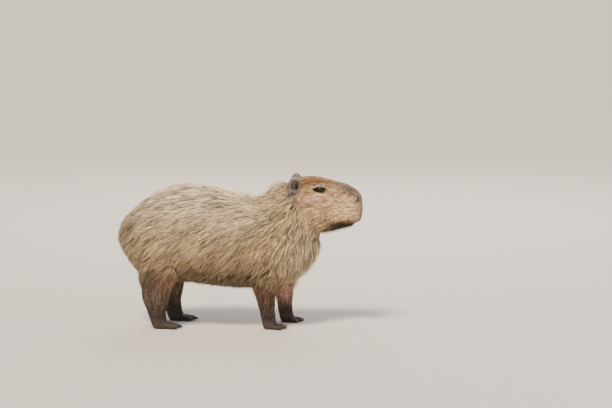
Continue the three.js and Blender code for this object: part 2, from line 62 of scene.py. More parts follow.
def fromFrame(points):
    return np.asarray(points, float) / mm - np.array([originX, 0, 0])


def smoothStep(value, low, high):
    share = np.clip((value - low) / (high - low), 0, 1)
    return share * share * (3 - 2 * share)


def bell(points, place, radius):
    away = np.linalg.norm((points - np.asarray(place, float)) / radius, axis=1)
    return np.exp(-away * away)


def unit(vectors):
    return vectors / np.maximum(np.linalg.norm(vectors, axis=-1, keepdims=True), 1e-9)


def deselectAll():
    if bpy.context.mode != "OBJECT":
        bpy.ops.object.mode_set(mode="OBJECT")
    bpy.ops.object.select_all(action="DESELECT")


def useOnly(piece):
    deselectAll()
    piece.select_set(True)
    bpy.context.view_layer.objects.active = piece


def meshPiece(name, points, faces):
    mesh = bpy.data.meshes.new(name)
    mesh.from_pydata([tuple(p) for p in points], [], faces)
    piece = bpy.data.objects.new(name, mesh)
    bpy.context.scene.collection.objects.link(piece)
    return piece


def joinPieces(pieces, name):
    deselectAll()
    for piece in pieces:
        piece.select_set(True)
    bpy.context.view_layer.objects.active = pieces[0]
    bpy.ops.object.join()
    pieces[0].name = name
    return pieces[0]


def pointsOf(piece):
    found = np.zeros(len(piece.data.vertices) * 3)
    piece.data.vertices.foreach_get("co", found)
    return found.reshape(-1, 3)


def normalsOf(piece):
    found = np.zeros(len(piece.data.vertices) * 3)
    piece.data.vertex_normals.foreach_get("vector", found)
    return found.reshape(-1, 3)


def movePoints(piece, points):
    piece.data.vertices.foreach_set("co", np.asarray(points, float).ravel())
    piece.data.update()


def applyModifier(piece, kind, **settings):
    useOnly(piece)
    modifier = piece.modifiers.new(kind.lower(), kind)
    for key, value in settings.items():
        setattr(modifier, key, value)
    bpy.ops.object.modifier_apply(modifier=modifier.name)


# Forms through stations, as the solids have them
def curveThrough(rows, shares):
    rows = np.asarray(rows, float)
    rows = np.vstack([2 * rows[0] - rows[1], rows, 2 * rows[-1] - rows[-2]])
    spans = len(rows) - 3
    spot = np.clip(np.asarray(shares, float) * spans, 0, spans - 1e-9)
    k = spot.astype(int)
    w = (spot - k)[:, None]
    a, b, c, d = rows[k], rows[k + 1], rows[k + 2], rows[k + 3]
    return b + 0.5 * w * (c - a + w * (2 * a - 5 * b + 4 * c - d + w * (3 * (b - c) + d - a)))


def loft(name, rows, bumps, around, along, inset):
    # a row is x, z, tilt in degrees, reach up, reach down, half width, power
    shares = np.linspace(0, 1, along + 1)[1:-1]
    section = curveThrough(rows, shares)
    x, z, tilt, up, down, half, power = (section[:, i, None] for i in range(7))
    angle = np.linspace(0, 2 * pi, around, endpoint=False)[None, :]
    c, s = np.cos(angle), np.sin(angle)
    rise = np.sign(c) * np.abs(c) ** (2 / power) * np.where(c > 0, up, down)
    side = np.sign(s) * np.abs(s) ** (2 / power) * half
    lean = np.radians(tilt)
    points = np.stack([x - np.sin(lean) * rise, side, z + np.cos(lean) * rise], axis=-1)
    centre = np.stack([x + 0 * side, 0 * side, z + 0 * side], axis=-1)
    out = points - centre
    out = out / (np.linalg.norm(out, axis=-1, keepdims=True) + 1)
    for place, radius, push in bumps:
        mirroredSide = np.stack([points[..., 0], np.abs(points[..., 1]), points[..., 2]], axis=-1)
        away = np.linalg.norm(mirroredSide - np.array(place), axis=-1, keepdims=True) / radius
        points = points + out * push * np.exp(-away * away)
    first, last = np.asarray(rows[0], float), np.asarray(rows[-1], float)
    ends = [[first[0], 0, first[1]], [last[0], 0, last[1]]]
    points = np.vstack([ends, points.reshape(-1, 3)])
    faces = []
    for j in range(around):
        k = (j + 1) % around
        faces.append((0, 2 + k, 2 + j))
        tail = 2 + (along - 2) * around
        faces.append((1, tail + j, tail + k))
        for i in range(along - 2):
            a = 2 + i * around
            faces.append((a + j, a + k, a + around + k, a + around + j))
    piece = meshPiece(name, toFrame(points), faces)
    useOnly(piece)
    bpy.ops.object.mode_set(mode="EDIT")
    bpy.ops.mesh.select_all(action="SELECT")
    bpy.ops.mesh.normals_make_consistent(inside=False)
    bpy.ops.object.mode_set(mode="OBJECT")
    movePoints(piece, pointsOf(piece) - normalsOf(piece) * inset * mm)
    return piece


trunkShape = {
    "rumpX": -470.0,
    "long": 943.0,
    "backHigh": 549.0,
    "halfWide": 165.0,
    "widest": 0.44,  # height of the widest line in a section
    "inset": 11.0,  # the coat stands this far out from the skin
    # shares along, top, bottom, half width
    "shares": [
        (0.0, 0.64, 0.64, 0), (0.006, 0.714, 0.57, 0.34), (0.037, 0.785, 0.475, 0.58),
        (0.083, 0.853, 0.385, 0.75), (0.138, 0.925, 0.345, 0.87), (0.223, 0.988, 0.328, 0.94),
        (0.301, 1.0, 0.321, 0.98), (0.392, 0.98, 0.3, 1.0), (0.477, 0.944, 0.288, 0.975),
        (0.562, 0.91, 0.288, 0.91), (0.636, 0.84, 0.306, 0.83), (0.711, 0.725, 0.338, 0.71),
        (0.76, 0.645, 0.395, 0.545), (0.79, 0.588, 0.463, 0.33), (0.802, 0.525, 0.525, 0),
    ],
    # place, radius, push: thigh, shoulder, flank before the thigh, behind the elbow
    "bumps": [
        ((-318, 128, 290), 85, 12),
        ((105, 120, 285), 70, 9),
        ((-190, 130, 215), 60, -8),
        ((10, 125, 230), 45, -9),
    ],
}
neckShape = {
    "inset": 11.0,
    "rows": [
        (60, 335, 30, 0, 0, 0, 2.2), (90, 350, 34, 118, 165, 92, 2.2), (148, 385, 40, 142, 184, 112, 2.2),
        (200, 425, 45, 135, 148, 101, 2.2), (235, 455, 50, 138, 108, 86, 2.2),
        (262, 474, 50, 124, 70, 66, 2.2), (278, 484, 50, 106, 40, 48, 2.2), (292, 494, 50, 0, 0, 0, 2.2),
    ],
}
headShape = {
    "noseX": 473.0,
    "long": 301.0,
    "crownZ": 581.0,
    "high": 218.0,
    "halfWide": 79.0,
    "widest": 0.42,
    "inset": 2.5,
    # shares along, top, bottom, half width, power
    "shares": [
        (0.0, 0.48, 0.48, 0, 2.2), (0.045, 0.19, 0.76, 0.55, 2.4), (0.14, 0.055, 0.91, 0.82, 2.6),
        (0.26, 0.01, 0.98, 0.95, 2.8), (0.39, 0.0, 1.0, 1.0, 2.9), (0.525, 0.034, 0.98, 0.92, 2.8),
        (0.655, 0.078, 0.945, 0.8, 2.7), (0.77, 0.12, 0.905, 0.72, 2.8), (0.87, 0.188, 0.85, 0.68, 3.0),
        (0.94, 0.262, 0.79, 0.61, 3.1), (0.982, 0.36, 0.72, 0.45, 3.0), (1.0, 0.56, 0.56, 0, 2.6),
    ],
    # jaw muscle, cheekbone, brow, hollow before the eye, whisker pad,
    # hollow below the mouth's corner, nostril
    "bumps": [
        ((262, 68, 425), 55, 8),
        ((285, 76, 490), 32, 4),
        ((307, 60, 551), 26, 6),
        ((351, 60, 513), 28, -5),
        ((425, 54, 448), 32, 6),
        ((396, 52, 396), 18, -5),
        ((455, 46, 500), 15, 3.5),
    ],
}


def trunkRows(shape):
    rows = []
    for along, top, bottom, half in shape["shares"]:
        z = shape["backHigh"] * (bottom + (top - bottom) * shape["widest"])
        up, down = shape["backHigh"] * top - z, z - shape["backHigh"] * bottom
        rows.append((shape["rumpX"] + shape["long"] * along, z, 0, up, down, shape["halfWide"] * half, 2.2))
    return rows


def headRows(shape):
    rows = []
    for along, top, bottom, half, power in shape["shares"]:
        topZ, bottomZ = shape["crownZ"] - shape["high"] * top, shape["crownZ"] - shape["high"] * bottom
        z = bottomZ + (topZ - bottomZ) * shape["widest"]
        x = shape["noseX"] - shape["long"] * (1 - along)
        rows.append((x, z, 0, topZ - z, z - bottomZ, shape["halfWide"] * half, power))
    return rows


trunk = loft("trunk", trunkRows(trunkShape), trunkShape["bumps"], 96, 96, trunkShape["inset"])
neck = loft("neck", neckShape["rows"], [], 72, 48, neckShape["inset"])
head = loft("head", headRows(headShape), headShape["bumps"], 96, 96, headShape["inset"])
print("trunk, neck and head lofted")


# Legs and feet start as copies of the solids, drawn in a little
def copyOfNode(node, inset):
    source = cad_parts[node]
    piece = bpy.data.objects.new(node + "Copy", source.data.copy())
    bpy.context.scene.collection.objects.link(piece)
    useOnly(piece)
    bpy.ops.object.mode_set(mode="EDIT")
    bpy.ops.mesh.select_all(action="SELECT")
    bpy.ops.mesh.remove_doubles(threshold=1e-5)
    bpy.ops.object.mode_set(mode="OBJECT")
    piece.data.materials.clear()
    movePoints(piece, pointsOf(piece) - normalsOf(piece) * inset * mm)
    return piece


skinShape = {
    "voxel": 3.4,  # the mesh's grid
    "legInset": 0.8,
    "footInset": 0.6,
    "plugRadius": 19.0,
    "plugHigh": 30.0,
    "smoothing": 12,
    "smoothFrom": 35.0,  # heights: the feet keep their toes
    "smoothFull": 90.0,
    "thinned": 0.58,  # share of the mesh kept once the face is shaped
}


# A short plug closes the gap between leg and foot
def makePlug(foot, side):
    _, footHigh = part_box(foot + "_" + side)
    legName = foot.replace("foot", "leg") + "_" + side
    legLow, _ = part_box(legName)
    ends = [v.co[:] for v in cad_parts[legName].data.vertices if v.co.z < legLow.z + 2 * mm]
    middle = np.mean(ends, axis=0)
    bpy.ops.mesh.primitive_cylinder_add(
        vertices=24, radius=skinShape["plugRadius"] * mm, depth=skinShape["plugHigh"] * mm
    )
    plug = bpy.context.object
    bpy.ops.transform.translate(value=(middle[0], middle[1], footHigh.z))
    bpy.ops.object.transform_apply(location=True, rotation=True, scale=True)
    return plug


limbs = []
for side in sides:
    for part in ("foreleg", "hindleg"):
        limbs.append(copyOfNode(part + "_" + side, skinShape["legInset"]))
    for part in ("forefoot", "hindfoot"):
        limbs.append(copyOfNode(part + "_" + side, skinShape["footInset"]))
        limbs.append(makePlug(part, side))

skin = joinPieces([trunk, neck, head] + limbs, "skin")
applyModifier(skin, "REMESH", mode="VOXEL", voxel_size=skinShape["voxel"] * mm, adaptivity=0.0)
print("skin remeshed:", len(skin.data.polygons), "faces")

place = fromFrame(pointsOf(skin))
soft = smoothStep(place[:, 2], skinShape["smoothFrom"], skinShape["smoothFull"])
soft *= 1 - 0.8 * smoothStep(place[:, 0], 250, 330) * smoothStep(place[:, 2], 330, 370)  # less on the head
soft *= 0.4 + 0.6 * smoothStep(place[:, 2], 150, 220)  # and down the legs
group = skin.vertex_groups.new(name="soft")
for tenth in range(11):
    chosen = np.where(np.round(soft * 10) == tenth)[0]
    group.add([int(i) for i in chosen], tenth / 10, "REPLACE")
applyModifier(skin, "SMOOTH", factor=0.5, iterations=skinShape["smoothing"], vertex_group="soft")
skin.vertex_groups.clear()

# Eyelids, nostrils and lips need a finer mesh than the body
eyeShape = {
    "radius": 18.0,
    "long": 38.0,
    "high": 19.5,
    "look": (0.16, -0.96, 0.22),
    "droop": 0.12,  # the front corner lies lower
    "lidThick": 1.6,
    "lidReach": 13.0,  # the lids run out into brow and cheek
    "rimHigh": 1.4,
    "creaseDeep": 1.8,  # over the eye
    "foldDeep": 1.0,  # under it
    "socketDeep": 9.0,
    "bulge": 1.2,
    "pupil": (16.0, 12.0),
}
nostrilShape = {
    "at": (455.0, -46.0, 497.0),
    "look": (0.62, -0.76, 0.18),
    "slant": 58.0,
    "long": 10.5,
    "wide": 4.0,
    "deep": 8.5,
    "rimHigh": 1.5,
}
mouthShape = {
    "line": [(490, 414), (463, 410), (437, 404), (412, 400), (388, 402), (370, 410)],
    "wide": 2.6,
    "deep": 3.6,
    "upperLip": 1.6,
    "lowerLip": 1.0,
    "splitWide": 1.9,  # the groove from lip to nose
    "splitDeep": 3.2,
    "splitRim": 0.9,
}


def onRight(points):
    return np.stack([points[:, 0], -np.abs(points[:, 1]), points[:, 2]], axis=1)


def mouthPath():
    return curveThrough(mouthShape["line"], np.linspace(0, 1, 60))


def mouthAway(points):
    gaps = points[:, None, [0, 2]] - mouthPath()[None, :, :]
    return np.linalg.norm(gaps, axis=2).min(axis=1)


def refine(piece, chooser):
    mesh = bmesh.new()
    mesh.from_mesh(piece.data)
    mesh.faces.ensure_lookup_table()
    centres = fromFrame(np.array([f.calc_center_median()[:] for f in mesh.faces]))
    chosen = set()
    for index in np.where(chooser(centres))[0]:
        chosen.update(mesh.faces[index].edges)
    bmesh.ops.subdivide_edges(mesh, edges=list(chosen), cuts=1, use_grid_fill=True, smooth=0.0)
    mesh.to_mesh(piece.data)
    mesh.free()
    piece.data.update()


def nearFace(points, reach):
    right = onRight(points)
    eye = np.linalg.norm(right - eyeAt, axis=1) < reach + 20
    nostril = np.linalg.norm(right - np.array(nostrilShape["at"]), axis=1) < reach + 8
    ahead = (points[:, 0] > 355) & (points[:, 2] > 380)
    mouth = ahead.copy()
    mouth[ahead] = mouthAway(points[ahead]) < reach - 4
    split = (points[:, 0] > 440) & (np.abs(points[:, 1]) < reach - 2) & (points[:, 2] > 405)
    split &= points[:, 2] < 500
    return eye | nostril | mouth | split


refine(skin, lambda points: nearFace(points, 14))
refine(skin, lambda points: nearFace(points, 10))
print("face refined:", len(skin.data.polygons), "faces")


# Face details are moves of the skin's points, worked out for the right side
def basisFrom(look, slant=0.0):
    out = unit(np.array(look, float))
    level = unit(np.cross(out, [0, 0, 1]))
    up = np.cross(level, out)
    if level[0] < 0:
        level = -level
    turn = radians(slant)
    return level * cos(turn) + up * sin(turn), up * cos(turn) - level * sin(turn), out


def shapeEye(points):
    ahead, up, out = basisFrom(eyeShape["look"])
    away = points - eyeAt
    u, v, w = away @ ahead, away @ up, away @ out
    near = (np.hypot(u, v) < 46) & (w > -6)
    # how far each point lies outside the opening between the lids
    halfLong, halfHigh = eyeShape["long"] / 2, eyeShape["high"] / 2
    droop = v + eyeShape["droop"] * u
    belly = np.clip(1 - (u / halfLong) ** 2, 0, 1)
    topEdge, lowEdge = halfHigh * 1.02 * belly ** 0.75, -halfHigh * 0.78 * belly ** 0.9
    middle, half = (topEdge + lowEdge) / 2, (topEdge - lowEdge) / 2
    corner = np.hypot(np.abs(u) - halfLong, droop)
    edge = np.where(np.abs(u) < halfLong, np.abs(droop - middle) - half, corner)
    # lids lie on the ball, with a rim, a crease over the eye and a fold under it
    thick = eyeShape["lidThick"]
    ball = np.sqrt(np.clip((eyeShape["radius"] + thick) ** 2 - u ** 2 - v ** 2, 0, None))
    onLid = 1 - smoothStep(edge, 3.0, eyeShape["lidReach"])
    target = w + (ball + thick - w) * onLid
    target += eyeShape["rimHigh"] * np.exp(-(((edge - 2.4) / 2.0) ** 2))
    target -= eyeShape["creaseDeep"] * np.exp(-(((edge - 8.5) / 2.2) ** 2)) * smoothStep(v, -4, 6)
    target -= eyeShape["foldDeep"] * np.exp(-(((edge - 7.5) / 2.0) ** 2)) * smoothStep(-v, 0, 6)
    inside = 1 - smoothStep(edge, -1.6, 1.0)
    target = target * (1 - inside) + (ball - eyeShape["socketDeep"]) * inside
    return points + np.where(near, target - w, 0)[:, None] * out


def shapeNostril(points):
    ahead, up, out = basisFrom(nostrilShape["look"], nostrilShape["slant"])
    away = points - np.array(nostrilShape["at"])
    u, v, w = away @ ahead, away @ up, away @ out
    spread = np.hypot(u / nostrilShape["long"], (v - 0.03 * u * u) / nostrilShape["wide"])
    pit = -nostrilShape["deep"] * np.exp(-0.9 * spread ** 2.4)
    rim = nostrilShape["rimHigh"] * np.exp(-(((spread - 1.9) / 0.6) ** 2))
    return points + np.where(np.abs(w) < 16, pit + rim, 0)[:, None] * out


def shapeMouth(points, normals):
    x, y, z = points.T
    away = mouthAway(points)
    reach = smoothStep(x, 364, 376) * (z > 380)
    groove = -mouthShape["deep"] * np.exp(-((away / mouthShape["wide"]) ** 2))
    path = mouthPath()
    lineZ = np.interp(x, path[::-1, 0], path[::-1, 1])
    lip = np.where(z > lineZ, mouthShape["upperLip"], mouthShape["lowerLip"])
    lip = lip * np.exp(-(((away - 6.5) / 3.6) ** 2))
    front = smoothStep(x, 446, 462) * smoothStep(z, 408, 416) * (1 - smoothStep(z, 470, 492))
    split = -mouthShape["splitDeep"] * np.exp(-((y / mouthShape["splitWide"]) ** 2)) * front
    split += mouthShape["splitRim"] * np.exp(-(((np.abs(y) - 5) / 3.0) ** 2)) * front
    return points + ((groove + lip) * reach + split)[:, None] * normals


points = fromFrame(pointsOf(skin))
onHead = points[:, 0] > 240
face = shapeMouth(points[onHead], normalsOf(skin)[onHead])
isLeft = face[:, 1] > 0
face = shapeEye(shapeNostril(onRight(face)))
face[:, 1] *= np.where(isLeft, -1, 1)
points[onHead] = face
movePoints(skin, toFrame(points))
applyModifier(skin, "DECIMATE", ratio=skinShape["thinned"])
print("face shaped and mesh thinned:", len(skin.data.polygons), "faces")

# Each ear is an upright cup, open to the side, with a rolled rim and a fold at its root
earShape = {
    "at": (211.0, -60.0, 553.0),
    "half": (23.0, 15.0, 35.0),
    "tip": 16.0,  # turned about X and then about Z, in degrees
    "turn": 8.0,
    "cup": 0.84,  # the hollow's width, as a share of the ear's
    "rimHigh": 2.2,  # heights out of the ear's face
    "foldHigh": 6.5,
    "frontFlap": 6.0,
    "backFlap": 5.0,
    "margin": 4.0,  # bare skin this far round it
}


def earTurn():
    tip, turn = radians(earShape["tip"]), radians(earShape["turn"])
    tipped = np.array([[1, 0, 0], [0, cos(tip), -sin(tip)], [0, sin(tip), cos(tip)]])
    turned = np.array([[cos(turn), -sin(turn), 0], [sin(turn), cos(turn), 0], [0, 0, 1]])
    return tipped @ turned


# Places in the right ear's own axes
def inEar(points):
    return (onRight(points) - np.array(earShape["at"])) @ earTurn()


def earAway(points):
    return np.linalg.norm(inEar(points) / (np.array(earShape["half"]) + earShape["margin"]), axis=1)


def makeEar(side):
    sign = -sides[side]
    bpy.ops.mesh.primitive_uv_sphere_add(segments=64, ring_count=48, radius=1.0)
    ear = bpy.context.object
    ear.name = "earSkin_" + side
    ball = pointsOf(ear)
    half = np.array(earShape["half"])
    x, y, z = ball[:, 0], ball[:, 1], ball[:, 2]
    away = np.hypot(x, z)
    outer = (y < 0).astype(float)
    flatX, flatZ = x * half[0], z * half[2]
    cup = smoothStep(1 - away / earShape["cup"], 0, 0.45) * outer

    def dab(place, radii):
        return np.exp(-(((flatX - place[0]) / radii[0]) ** 2) - ((flatZ - place[1]) / radii[1]) ** 2)

    shaped = ball * half
    shaped[:, 1] += cup * half[1] * (1.15 + 0.45 * dab((5, -6), (9, 15)))
    shaped[:, 1] -= earShape["rimHigh"] * outer * np.exp(-(((away - 0.9) / 0.07) ** 2))
    foldX = -6 + 0.012 * (flatZ + 2) ** 2
    fold = np.exp(-(((flatX - foldX) / 2.8) ** 2)) * smoothStep(flatZ, -24, -14)
    fold *= 1 - smoothStep(flatZ, 8, 22)
    shaped[:, 1] -= earShape["foldHigh"] * fold * outer
    shaped[:, 1] -= earShape["frontFlap"] * outer * dab((10, -19), (5, 6))
    shaped[:, 1] -= earShape["backFlap"] * outer * dab((-9, -22), (6, 5))
    shaped[:, 0] *= 1 - 0.1 * smoothStep(z, 0.3, 1.0)  # narrower at the top
    shaped[:, 0] += 2.5 * smoothStep(-z, 0.1, 0.9)
    placed = shaped @ earTurn().T + np.array(earShape["at"])
    placed[:, 1] *= sign
    movePoints(ear, toFrame(placed))
    if sign < 0:
        useOnly(ear)
        bpy.ops.object.mode_set(mode="EDIT")
        bpy.ops.mesh.select_all(action="SELECT")
        bpy.ops.mesh.flip_normals()
        bpy.ops.object.mode_set(mode="OBJECT")
    return ear


skin = joinPieces([skin] + [makeEar(side) for side in sides], "skin")
useOnly(skin)
bpy.ops.object.shade_smooth()
bpy.ops.object.mode_set(mode="EDIT")
bpy.ops.mesh.select_all(action="SELECT")
bpy.ops.uv.smart_project(angle_limit=radians(66), island_margin=0.002)
bpy.ops.object.mode_set(mode="OBJECT")
skin.data.uv_layers.active.name = "OFBake"
fleshNodes = ["torso", "neck", "head"]
for side in sides:
    fleshNodes += [part + "_" + side for part in ("ear", "foreleg", "hindleg", "forefoot", "hindfoot")]
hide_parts(*fleshNodes)
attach(skin, bodyName)
print("skin joined and unwrapped:", len(skin.data.polygons), "faces")


# Markings and painted light: one function gives skin and hair the same colours by place, markings together
# with painted sunlight and painted shade
def linearOf(hexColour):
    parts = [int(hexColour[i:i + 2], 16) / 255 for i in (1, 3, 5)]
    return np.array([c / 12.92 if c <= 0.04045 else ((c + 0.055) / 1.055) ** 2.4 for c in parts])


markingsAndLight = {
    # back: painted sunlight on the top of the body; belly: painted shade under it
    "back": "#ead9ba",
    "flank": "#c2a987",
    "belly": "#75624d",
    "rump": "#a39178",
    "neck": "#cfb592",
    "throat": "#d2be9e",
    "head": "#e0bc93",
    "crown": "#b58e69",
    "muzzleSide": "#ebcf9d",
    "muzzleTop": "#8d756b",
    "noseRim": "#a58d86",
    # nostril: painted shade in the pit
    "nostril": "#2a1d1b",
    # chin: dark hair, with painted shade under the jaw
    "chin": "#43362c",
    "brow": "#8d5833",
    "browPale": "#f0dfb8",
    "cheekPale": "#f3e4c0",
    "cheekSpot": "#8d6a66",
    "whiskerPad": "#ecd6b6",
    # near (right) foreleg: painted shade from the chest; far (left) foreleg: painted sunlight
    "foreRightShaded": "#6f5548",
    "foreLeftSunlit": "#cda28f",
    "hindLeg": "#7b6a5b",
    # knee: painted sunlight on the front of the knees
    "kneeSunlit": "#b48a70",
    "foot": "#4c403b",
    "ear": "#b3a098",
    # ear hollow: painted shade in the cup
    "earHollowShade": "#3c302d",
    "earRim": "#d8ccc2",
    "earFold": "#c9a498",
    "eyeRim": "#2c211d",
}


# Smooth noise between about -1 and 1, in clouds of the given size
def mottle(points, size):
    return np.array([noise.noise(Vector(p)) for p in points / size])


# How far a point lies towards the head, measured across the neck's slant
def alongNeck(points):
    return points[:, 0] + 0.35 * (points[:, 2] - 470)


def markingAndLightAt(points):
    right = onRight(points)
    x, y, z = right.T

    def blend(colour, mask):
        nonlocal found
        mask = np.clip(mask, 0, 1)[:, None]
        found = found * (1 - mask) + linearOf(markingsAndLight[colour]) * mask

    def patch(colour, place, radii, strength=1.0):
        blend(colour, strength * bell(right, place, np.array(radii, float)))

    found = np.tile(linearOf(markingsAndLight["flank"]), (len(points), 1))
    # painted sunlight lightens the upper body, painted shade darkens the belly
    blend("back", smoothStep(z, 330, 520))
    blend("belly", 1 - smoothStep(z, 190, 320))
    blend("rump", (1 - smoothStep(x, -450, -300)) * 0.8)
    blend("neck", smoothStep(x, 60, 190) * 0.85)
    blend("throat", smoothStep(x, 150, 250) * (1 - smoothStep(z, 380, 450)) * 0.8)
    # legs and feet, with painted shade on the near (right) foreleg and painted sunlight on the far (left)
    # foreleg
    foreLeg = (1 - smoothStep(z, 158, 232)) * smoothStep(x, 10, 50)
    isLeft = (points[:, 1] > 0).astype(float)
    blend("foreRightShaded", foreLeg * (1 - isLeft))
    blend("foreLeftSunlit", foreLeg * isLeft)
    blend("hindLeg", (1 - smoothStep(z, 165, 285)) * (1 - smoothStep(x, -240, -150)))
    # painted sunlight on the front of the knees
    for kneeX in (-285, -244):
        patch("kneeSunlit", (kneeX, -105, 200), (30, 50, 30), 0.8)
    blend("foot", 1 - smoothStep(z, 40, 145))
    # head
    onHead = smoothStep(alongNeck(points), 190, 300) * smoothStep(z, 350, 400)
    blend("head", onHead)
    blend("crown", onHead * smoothStep(z, 535, 566))
    patch("muzzleSide", (410, -56, 462), (46, 30, 42), 0.9)
    blend("muzzleTop", smoothStep(x, 350, 420) * smoothStep(z - 530 + 0.38 * (x - 350), 0, 24))
    patch("noseRim", (474, 0, 468), (23, 80, 52), 1.0)
    # the jaw's dark hair, with painted shade under the jaw, has a ragged upper edge
    ragged = 5 * np.sin(x / 3.1) * np.sin(x / 7.3 + 1)
    jaw = smoothStep(x, 300, 385) * (1 - smoothStep(z + ragged, 404, 430))
    blend("chin", jaw * 0.95)
    # painted shade on the underside of the lower jaw
    patch("chin", (345, 0, 376), (64, 44, 26), 0.6)
    # painted shade in the nostril's pit
    patch("nostril", nostrilShape["at"], (8, 10, 10), 1.0)
    # round the eye, from the brow down
    patch("brow", (302, -60, 540), (52, 30, 32), 0.4)
    patch("brow", (322, -58, 566), (40, 22, 8), 0.9)
    patch("browPale", (312, -62, 553), (26, 18, 4.5), 1.0)
    patch("browPale", (338, -60, 544), (10, 20, 5), 0.9)
    patch("cheekPale", (370, -60, 532), (16, 24, 5), 0.9)
    patch("cheekPale", (316, -66, 518), (27, 24, 4), 0.9)
    patch("cheekSpot", (280, -80, 481), (11, 24, 8), 0.5)
    patch("whiskerPad", (396, -66, 457), (17, 26, 13), 0.7)
    # ears and eyelids
    blend("ear", (1 - smoothStep(earAway(points), 0.98, 1.1)) * smoothStep(z, 514, 524))
    eyeAway = np.linalg.norm((right - eyeAt) / np.array([25, 30, 15]), axis=1)
    blend("eyeRim", 1 - smoothStep(eyeAway, 0.8, 1.02))
    # clouds over the whole coat, then warm and pale tints and fine flecks on the head
    found = found * (1 + 0.22 * mottle(points, 34)[:, None] * np.array([1.2, 1.0, 0.7]))
    tint = 0.28 * mottle(points + 500, 13) * onHead
    found = found * (1 + tint[:, None] * np.array([0.5, -0.1, -0.8]))
    return found * (1 + 0.5 * (mottle(points, 4.7) * onHead)[:, None])


def addAttribute(piece, name, kind, values):
    made = piece.data.attributes.new(name, kind, "POINT")
    field = "color" if kind == "FLOAT_COLOR" else "value"
    made.data.foreach_set(field, np.asarray(values, np.float32).ravel())


def withAlpha(colours):
    return np.hstack([colours, np.ones((len(colours), 1))])


# colour, place and radii in the ear's own axes, strength; the hollow's dark patches are painted shade in
# the cup and beside the fold
earPaint = [
    ("earHollowShade", (0, 0, -4), (14, 14, 22), 0.3),
    ("earHollowShade", (8, 2, -9), (5, 14, 13), 0.95),
    ("earHollowShade", (-12, -2, -6), (3.5, 14, 13), 0.8),
    ("earRim", (0, -10, 32), (22, 14, 6), 0.9),
    ("earFold", (-3, -6, -3), (5, 12, 18), 0.9),
]
skinPoints = fromFrame(pointsOf(skin))
skinNormals = normalsOf(skin)
skinColours = markingAndLightAt(skinPoints)
for colour, spot, radii, strength in earPaint:
    mask = (strength * bell(inEar(skinPoints), spot, np.array(radii, float)))[:, None]
    skinColours = skinColours * (1 - mask) + linearOf(markingsAndLight[colour]) * mask
addAttribute(skin, "markingAndLight", "FLOAT_COLOR", withAlpha(skinColours))
furred = smoothStep(skinPoints[:, 2], 60, 110)
furred *= 1 - smoothStep(skinPoints[:, 0], 452, 470) * smoothStep(skinPoints[:, 2], 440, 470)
addAttribute(skin, "furred", "FLOAT", furred)
print("skin coloured")


# Coat: closed tapered tufts in joined meshes, rooted in the skin and following the lie of the hair
def lieAt(points):
    x, y, z = points.T
    # back along the spine, steeper down the sides and steepest on the chest
    low = np.clip((trunkShape["backHigh"] - z) / 330, 0, 1)
    fore = smoothStep(x, 60, 240)
    slope = np.radians((6 + 50 * low) * (1 - fore) + (50 + 30 * low) * fore)
    found = np.stack([-np.cos(slope), 0 * x, -np.sin(slope)], axis=1)
    leg = (1 - smoothStep(z, 150, 230))[:, None]
    found = found * (1 - leg) + np.array([-0.12, 0, -1]) * leg
    onHead = (smoothStep(alongNeck(points), 205, 290) * smoothStep(z, 345, 380))[:, None]
    # on the head straight back, but down the cheeks and away from the nose in front
    droop = 0.1 + 0.9 * (1 - smoothStep(z, 390, 480)) * (1 - smoothStep(x, 330, 400))
    onFace = np.stack([-1 + 0 * x, y / 260, -droop], axis=1)
    front = smoothStep(x, 430, 470)[:, None]
    onFace = onFace * (1 - front) + np.stack([-0.4 + 0 * x, y / 50, (z - 470) / 60], axis=1) * front
    return unit(found * (1 - onHead) + onFace * onHead)


# The skin's triangles, which the tufts are sown on
skin.data.calc_loop_triangles()
triangleCount = len(skin.data.loop_triangles)
triangles = np.zeros(triangleCount * 3, int)
skin.data.loop_triangles.foreach_get("vertices", triangles)
triangles = triangles.reshape(-1, 3)
loops = np.zeros(triangleCount * 3, int)
skin.data.loop_triangles.foreach_get("loops", loops)
skinMap = np.zeros(len(skin.data.loops) * 2)
skin.data.uv_layers["OFBake"].data.foreach_get("uv", skinMap)
cornerMap = skinMap.reshape(-1, 2)[loops].reshape(-1, 3, 2)
corners = skinPoints[triangles]
cross = np.cross(corners[:, 1] - corners[:, 0], corners[:, 2] - corners[:, 0])
areas = np.linalg.norm(cross, axis=1) / 2
middles = corners.mean(axis=1)
facing = unit(cross)
tree = BVHTree.FromPolygons(skinPoints.tolist(), triangles.tolist())
print("skin measured:", round(areas.sum() / 1e6, 3), "square metres")


def nearestOn(points, normals):
    places, found = points.copy(), normals.copy()
    for i, point in enumerate(points):
        place, normal, _, _ = tree.find_nearest(Vector(point))
        places[i] = place
        found[i] = normal
    return places, unit(found)


# Streaks: noise averaged along the lie of the hair, as shares from dark to light
def streaksAt(points, lie, reach, contrast):
    total = sum(mottle(points + lie * step, 5.5) for step in np.linspace(-reach, reach, 7))
    return 1 / (1 + np.exp(-contrast * total / total.std()))


# Hair is full size on the trunk, short down the legs and round the ears, and shortens towards the nose
def sizeAt(points):
    x, z = points[:, 0], points[:, 2]
    right = onRight(points)
    beside = smoothStep(-right[:, 1], 42, 60)
    # outside the legs the hair shortens higher up than between them
    lifted = 45 * np.exp(-(((x - 125) / 85) ** 4)) + 75 * np.exp(-(((x + 300) / 110) ** 4))
    lifted = beside * lifted
    legs = 0.3 + 0.35 * smoothStep(z, 70, 150) + 0.35 * smoothStep(z, 120 + lifted, 190 + lifted)
    onHead = smoothStep(alongNeck(points), 205, 250) * smoothStep(z, 345, 380)
    face = 1 - 0.62 * smoothStep(x - 0.25 * (z - 470), 225, 360)
    nearEar = bell(right, np.array(earShape["at"]) + np.array([22, 0, -4]), 34)
    return (legs * (1 - onHead) + face * onHead) * (1 - 0.6 * nearEar)


